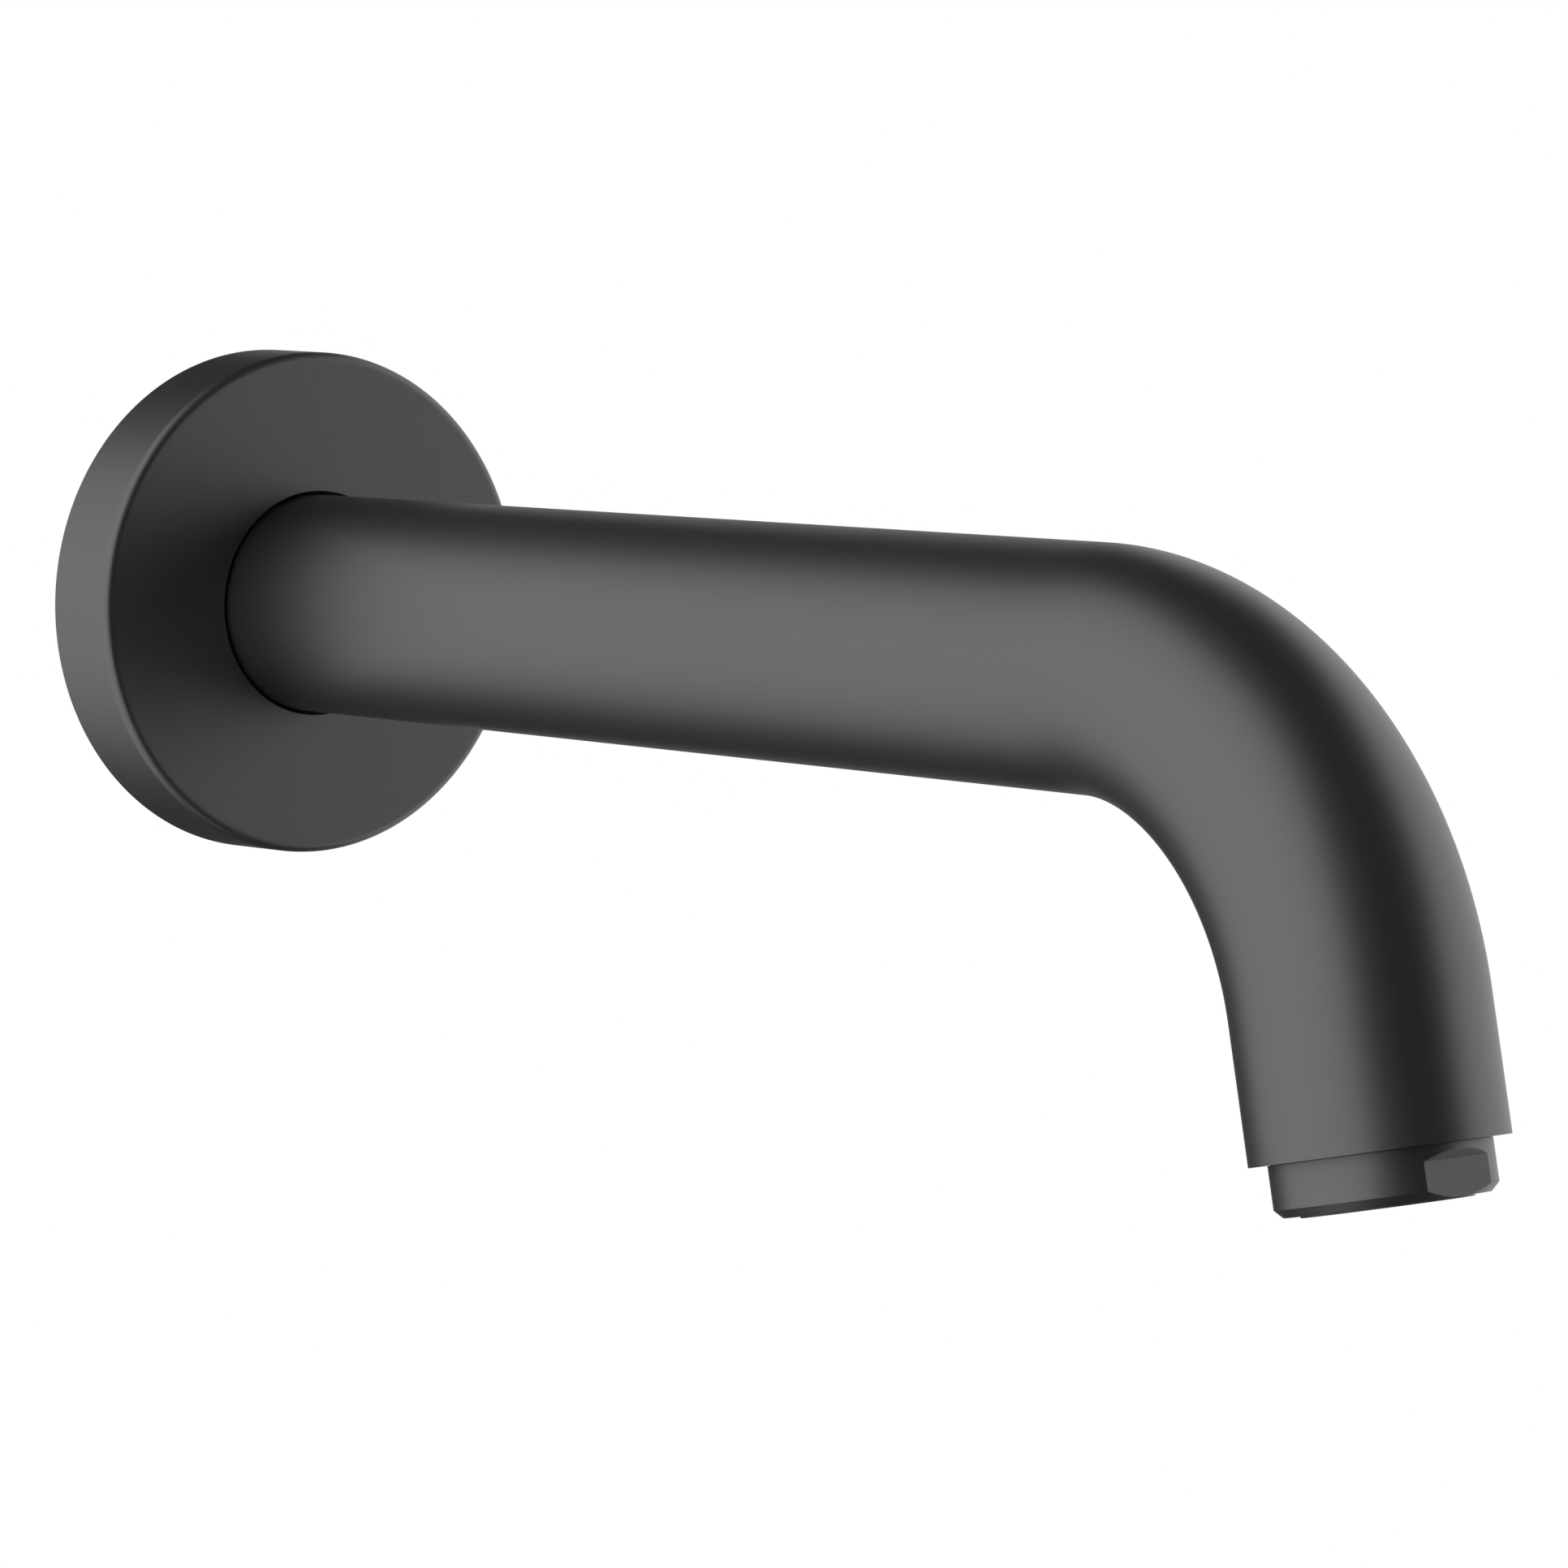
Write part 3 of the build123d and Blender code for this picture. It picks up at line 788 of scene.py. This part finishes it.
# %% [markdown]
# ### Screw threads
#
# A thread could be a bump in the material, but from the side its crests would stay a straight
# line. Here it is real geometry. A mesh is copied, the plain cylinder where the thread belongs
# is cut out, and a band is laid in its place whose rows follow the helix, so that crests and
# roots stay crisp. Rows that would run past an end are held at it, and the depth fades out
# over the last part of a turn, as where a die or a tap runs out.

# %% The form of a thread
THREAD_ROWS = 12                # rows of points along one pitch
FLANK_SLOPE = 0.72              # above 0.5 leaves flats at crest and root


def thread_height(t):
    """Height of the thread from 0, the root, to 1, the crest, for a place t within one pitch."""
    triangle = 1 - 4 * abs((t % 1.0) - 0.5)
    return min(1.0, max(0.0, 0.5 + FLANK_SLOPE * triangle))


def thread_band(radius, pitch, low, high, start, end, fade):
    """Points and faces of a thread round Z that spans low..high beside its plain radius."""
    rows = int((end - start) / pitch + 2) * THREAD_ROWS
    points, faces = [], []
    for j in range(rows + 1):
        t = j / THREAD_ROWS
        for i in range(ROUND_STEPS + 1):
            turn = i / ROUND_STEPS
            z = min(max(start + (t + turn - 1.0) * pitch, start), end)
            depth = min(1.0, (z - start) / fade, (end - z) / fade)
            r = radius + depth * (low + (high - low) * thread_height(t))
            points.append((r * math.cos(turn * math.tau), r * math.sin(turn * math.tau), z))
    width = ROUND_STEPS + 1
    for j in range(rows):
        for i in range(ROUND_STEPS):
            a = j * width + i
            faces.append((a, a + 1, a + 1 + width, a + width))
    return points, faces


# %% A thread in place of a plain cylinder
ON_CYLINDER = 0.05 * MM         # how near to its radius a point counts as on a cylinder
LEVEL_NORMAL = 0.1              # largest part along Z of a cylinder's normal
SAME_POINT = 0.0005 * MM
SHORT_EDGE = 0.0001 * MM


def is_plain(face, radius):
    """Whether a face lies on the cylinder of that radius round Z."""
    gaps = [abs(math.hypot(v.co.x, v.co.y) - radius) for v in face.verts]
    return max(gaps) < ON_CYLINDER and abs(face.normal.z) < LEVEL_NORMAL


def threaded(node_name, source, matrix, radius, pitch, low, high, fade, inward=False):
    """A copy of a mesh with its plain cylinder of that radius turned into a thread."""
    shape = bmesh.new()
    shape.from_mesh(source)
    bmesh.ops.transform(shape, matrix=matrix.inverted(), verts=shape.verts)
    bmesh.ops.remove_doubles(shape, verts=shape.verts, dist=SAME_POINT)
    plain = [face for face in shape.faces if is_plain(face, radius)]
    heights = [v.co.z for face in plain for v in face.verts]
    start, end = min(heights), max(heights)
    bmesh.ops.delete(shape, geom=plain, context="FACES")
    points, faces = thread_band(radius, pitch, low, high, start, end, fade)
    if inward:
        faces = [tuple(reversed(face)) for face in faces]
    band = bpy.data.meshes.new(node_name + "_band")
    band.from_pydata(points, [], faces)
    shape.from_mesh(band)
    bmesh.ops.remove_doubles(shape, verts=shape.verts, dist=SAME_POINT)
    bmesh.ops.dissolve_degenerate(shape, edges=shape.edges, dist=SHORT_EDGE)
    bmesh.ops.transform(shape, matrix=matrix, verts=shape.verts)
    whole = bpy.data.meshes.new(node_name + "_threaded")
    shape.to_mesh(whole)
    shape.free()
    print(f"{node_name}: thread from {start / MM:.1f} to {end / MM:.1f} mm")
    finish_piece(node_name + "_threaded", crisp(whole), node_name)


# %% The three threads
PIPE_PITCH = 1.814 * MM         # G 1/2 has 14 turns to the inch
PIPE_DEPTH = 1.162 * MM
AERATOR_PITCH = 1.0 * MM
AERATOR_DEPTH = 0.65 * MM
BUSH_R = THREAD_R + 0.05        # the bush's thread, with its play

pipe_thread = dict(pitch=PIPE_PITCH, low=-PIPE_DEPTH, high=0.0, fade=0.8 * PIPE_PITCH)
aerator_thread = dict(
    pitch=AERATOR_PITCH, low=-AERATOR_DEPTH / 2, high=AERATOR_DEPTH / 2, fade=0.5 * AERATOR_PITCH)
bush_mesh = nodes["outlet_bush"].data
threaded("wall_nipple", nipple_mesh, wall_frame, PIPE_R * MM, **pipe_thread)
threaded("aerator_housing", ring_mesh, mouth_frame, THREAD_R * MM, **aerator_thread)
threaded("outlet_bush", bush_mesh, mouth_frame, BUSH_R * MM, **aerator_thread, inward=True)

# %% [markdown]
# ### Woven screens
#
# Two screens of woven wire under the jets break the water up. In the frame each is a thin
# pierced plate. Here each wire is a thin tube that passes over and under the wires that cross
# it. Its height is a cosine along its length, and neighbours are half a wave apart. The upper
# screen is turned, so that its holes don't lie over those of the lower one.

# %% Woven screens
WIRE = 0.19 * MM                # its thickness
WIRE_PITCH = 0.85 * MM
WIRE_SIDES = 6
STEPS_PER_PITCH = 4
UPPER_TURN = math.radians(45)


def wire_tube(points, faces, path, across):
    """Adds a closed tube of wire along a path to lists of points and faces."""
    first = len(points)
    for x, y, z in path:
        for aside, rise in circle(WIRE / 2, WIRE_SIDES):
            points.append((x + aside * across[0], y + aside * across[1], z + rise))
    for i in range(len(path) - 1):
        for k in range(WIRE_SIDES):
            a, b = first + i * WIRE_SIDES + k, first + i * WIRE_SIDES + (k + 1) % WIRE_SIDES
            faces.append((a, b, b + WIRE_SIDES, a + WIRE_SIDES))
    last = first + (len(path) - 1) * WIRE_SIDES
    faces.append(tuple(range(first + WIRE_SIDES - 1, first - 1, -1)))
    faces.append(tuple(range(last, last + WIRE_SIDES)))


def woven_screen(node_name, turn):
    """A disc of wires both ways, each over and under those that it crosses."""
    matrix = mouth_frame @ Matrix.Rotation(turn, 4, "Z")
    _, radius, low, high = sizes_in(node_name, matrix)
    middle, wave = (low + high) / 2, (high - low) / 2 - WIRE / 2
    count = int(radius / WIRE_PITCH)
    points, faces = [], []
    for direction in (0, 1):
        for n in range(-count, count + 1):
            offset = n * WIRE_PITCH
            reach = math.sqrt(radius**2 - offset**2)
            steps = max(2, int(2 * reach / WIRE_PITCH * STEPS_PER_PITCH))
            over = 1 if (n + direction) % 2 == 0 else -1
            path = []
            for i in range(steps + 1):
                along = -reach + 2 * reach * i / steps
                z = middle + over * wave * math.cos(math.pi * along / WIRE_PITCH)
                path.append((along, offset, z) if direction == 0 else (offset, along, z))
            wire_tube(points, faces, path, (0, 1) if direction == 0 else (-1, 0))
    mesh = mesh_from(node_name + "_woven", points, faces, matrix)
    finish_piece(node_name + "_woven", mesh, node_name)


woven_screen("aerator_screen_lower", 0.0)
woven_screen("aerator_screen_upper", UPPER_TURN)

# %% [markdown]
# ## The studio
#
# A satin metal has almost no look of its own: it shows what stands round it. In the picture
# the tube is bright along its side and dark above, below and in front, which means wide bright
# fields at the left and behind at the right, and darkness between them. A photographer gets
# this on a white background with black flags: dark cards round the object that leave windows
# open to the white. So the first thing to build is the white: a world that is the same plain
# white all round.

# %% White world
world = bpy.data.worlds.new("white_studio")
scene.world = world
world.use_nodes = True
background = world.node_tree.nodes["Background"]
background.inputs["Color"].default_value = grey(1.0)
background.inputs["Strength"].default_value = 1.0
print("world:", world.name)

# %% [markdown]
# ### The floor
#
# The floor is plain, pale and matt, and lies about where a bath's floor lies under its spout.
# A floor with an edge would draw a line behind the spout. Towards its rim it turns into the
# same plain white as the background, but only for rays that see it, so it adds no light. From
# below the floor is clear, so that the spout can be looked at from underneath as well.

# %% Plain pale floor
FLOOR_Z = -0.6
FLOOR_R = 1.8
FLOOR_SIDES = 96


def plain_material(name, level):
    """A matt studio surface without any gloss."""
    material = bpy.data.materials.new(name)
    material.use_nodes = True
    shader = material.node_tree.nodes["Principled BSDF"]
    shader.inputs["Base Color"].default_value = grey(level)
    shader.inputs["Roughness"].default_value = 1.0
    shader.inputs["Specular IOR Level"].default_value = 0.0
    return material


def stage_piece(name, points, faces, material):
    """Links a mesh that belongs to the studio and not to the spout."""
    mesh = bpy.data.meshes.new(name)
    mesh.from_pydata(points, [], faces)
    mesh.materials.append(material)
    piece = bpy.data.objects.new(name, mesh)
    scene.collection.objects.link(piece)
    return piece


floor_rim = [(x, y, FLOOR_Z) for x, y in circle(FLOOR_R, FLOOR_SIDES)]
pale = plain_material("pale_floor", 0.95)
stage_piece("floor", floor_rim, [tuple(range(FLOOR_SIDES))], pale)
print("floor at", FLOOR_Z, "m")

# %% The floor's rim and underside
FADE_FROM, FADE_TO = 0.3 * FLOOR_R, 0.95 * FLOOR_R
LEVEL_PARTS = (1, 1, 0)         # keeps X and Y and drops the height


def seen_directly(tree):
    """1 for rays from the camera, a mirror or glass, and 0 for rays that only bring light."""
    rays = add(tree, "LightPath").outputs
    seen = maths(tree, "MAXIMUM", rays["Is Camera Ray"], rays["Is Glossy Ray"])
    return maths(tree, "MAXIMUM", seen, rays["Is Transmission Ray"])


floor_tree = pale.node_tree
on_floor = add(floor_tree, "VectorMath", {0: place(floor_tree), 1: LEVEL_PARTS}, operation="MULTIPLY")
away = add(floor_tree, "VectorMath", {0: on_floor.outputs[0]}, operation="LENGTH").outputs["Value"]
rim = spread(floor_tree, away, FADE_FROM, FADE_TO, 0.0, 1.0)
fading = maths(floor_tree, "MULTIPLY", rim, seen_directly(floor_tree))
white = add(floor_tree, "Emission", {"Color": grey(1.0), "Strength": 1.0}).outputs[0]
matt = floor_tree.nodes["Principled BSDF"].outputs[0]
faded = add(floor_tree, "MixShader", {0: fading, 1: matt, 2: white}).outputs[0]
from_below = add(floor_tree, "NewGeometry").outputs["Backfacing"]
clear = add(floor_tree, "BsdfTransparent").outputs[0]
floor_surface = add(floor_tree, "MixShader", {0: from_below, 1: faded, 2: clear})
floor_tree.links.new(floor_surface.outputs[0], floor_tree.nodes["Material Output"].inputs["Surface"])
print(f"rim fades from {FADE_FROM:.2f} to {FADE_TO:.2f} m")

# %% [markdown]
# ### The flags and their windows
#
# One round flag stands between the world and the spout, with windows in it. The wide ones are
# at the left and at the right behind the spout, and a small one lies straight below it. Each is
# made of a few rectangles of directions, whose edges were found by working out which direction
# each bright or dark patch of the picture reflects. Straight behind the tube, beside the right
# window, a grey strip gives the tube's outline a rim of middle brightness. Flag and strip show
# only in reflections, so they neither shade the spout nor stand in a camera's view.

# %% Windows
# Each opening runs from one compass direction to another and from one height to another, in
# degrees, with the compass counted from +X towards +Y
WINDOWS = (
    (105, 222, -15, 69),        # left
    (108, 222, -63, -15),       # left, low
    (222, 237, -45, -12),       # left, round to the front, low
    (-49.5, 45, -45, 3),        # right, low
    (-57, 45, 3, 21),           # right, at the height of the tube
    (-43.5, 45, 21, 39),        # right, high
    (-30, 15, 39, 45),          # right, highest
    (105, 240, -90, -76.5),     # straight down
)
GREY_STRIP = (45, 60, -24, 27)
OPENINGS = (*WINDOWS, GREY_STRIP)


def lies_in(opening, compass, height):
    """Whether a direction lies in an opening."""
    west, east, low, high = opening
    return (compass - west) % 360 < east - west and low < height < high


print(len(WINDOWS), "windows and one strip")

# %% Flag and strip
FLAG_R = 1.5                    # metres, as are all sizes of the studio
FLAG_STEP = 1.5                 # degrees between the edges of the flag's cells
FLAG_LEVEL = 0.05               # how dark the flag is
STRIP_LEVEL = 0.48
STUDIO_CENTRE = Vector((0, -0.11, 0))
LOWEST = FLOOR_Z + 0.05         # the flag ends just above the floor


def towards(compass, height):
    """A step of one metre in a direction."""
    turn, rise = math.radians(compass), math.radians(height)
    level = math.cos(rise)
    return Vector((level * math.cos(turn), level * math.sin(turn), math.sin(rise)))


def flag_point(compass, height):
    """Point of the flag in a direction."""
    way = towards(compass, height)
    away = min(FLAG_R, LOWEST / way.z) if height < 0 else FLAG_R
    return STUDIO_CENTRE + away * way


def card(name, level, belongs):
    """A card of the cells round the spout that belong to it, seen by reflections only."""
    corners = ((0, 0), (FLAG_STEP, 0), (FLAG_STEP, FLAG_STEP), (0, FLAG_STEP))
    points, faces = [], []
    for compass in np.arange(0, 360, FLAG_STEP):
        for height in np.arange(-90, 90, FLAG_STEP):
            if belongs(compass + FLAG_STEP / 2, height + FLAG_STEP / 2):
                faces.append(tuple(range(len(points), len(points) + 4)))
                points += [flag_point(compass + right, height + up) for right, up in corners]
    piece = stage_piece(name, points, faces, plain_material(name, level))
    for kind in ("camera", "diffuse", "transmission", "shadow"):
        setattr(piece, "visible_" + kind, False)
    print(f"{name}: {len(faces)} faces")


def in_flag(compass, height):
    """Whether the flag covers a direction."""
    return not any(lies_in(opening, compass, height) for opening in OPENINGS)


def in_strip(compass, height):
    """Whether the grey strip covers a direction."""
    return lies_in(GREY_STRIP, compass, height)


card("black_flag", FLAG_LEVEL, in_flag)
card("grey_strip", STRIP_LEVEL, in_strip)

# %% [markdown]
# ### The lamps
#
# Two large, weak lamps stand behind the left and right windows, so that rough pieces and the
# floor get a little direction on top of the even light of the world. A lamp's power is worked
# out from how bright its face should look: power = brightness x pi x area.

# %% Soft lamps
LAMPS = {"lamp_left": (164, 12, 0.08), "lamp_right": (-6, 0, 0.04)}     # compass, height, brightness
LAMP_SIDE = 1.6
LAMP_AWAY = 1.8

for name, (compass, height, brightness) in LAMPS.items():
    light = bpy.data.lights.new(name, "AREA")
    light.size = LAMP_SIDE
    light.energy = brightness * math.pi * LAMP_SIDE**2
    lamp = bpy.data.objects.new(name, light)
    way = towards(compass, height)
    lamp.location = STUDIO_CENTRE + LAMP_AWAY * way
    lamp.rotation_euler = way.to_track_quat("Z", "Y").to_euler()
    lamp.visible_camera = False
    scene.collection.objects.link(lamp)
    print(f"{name}: {light.energy:.2f} W")
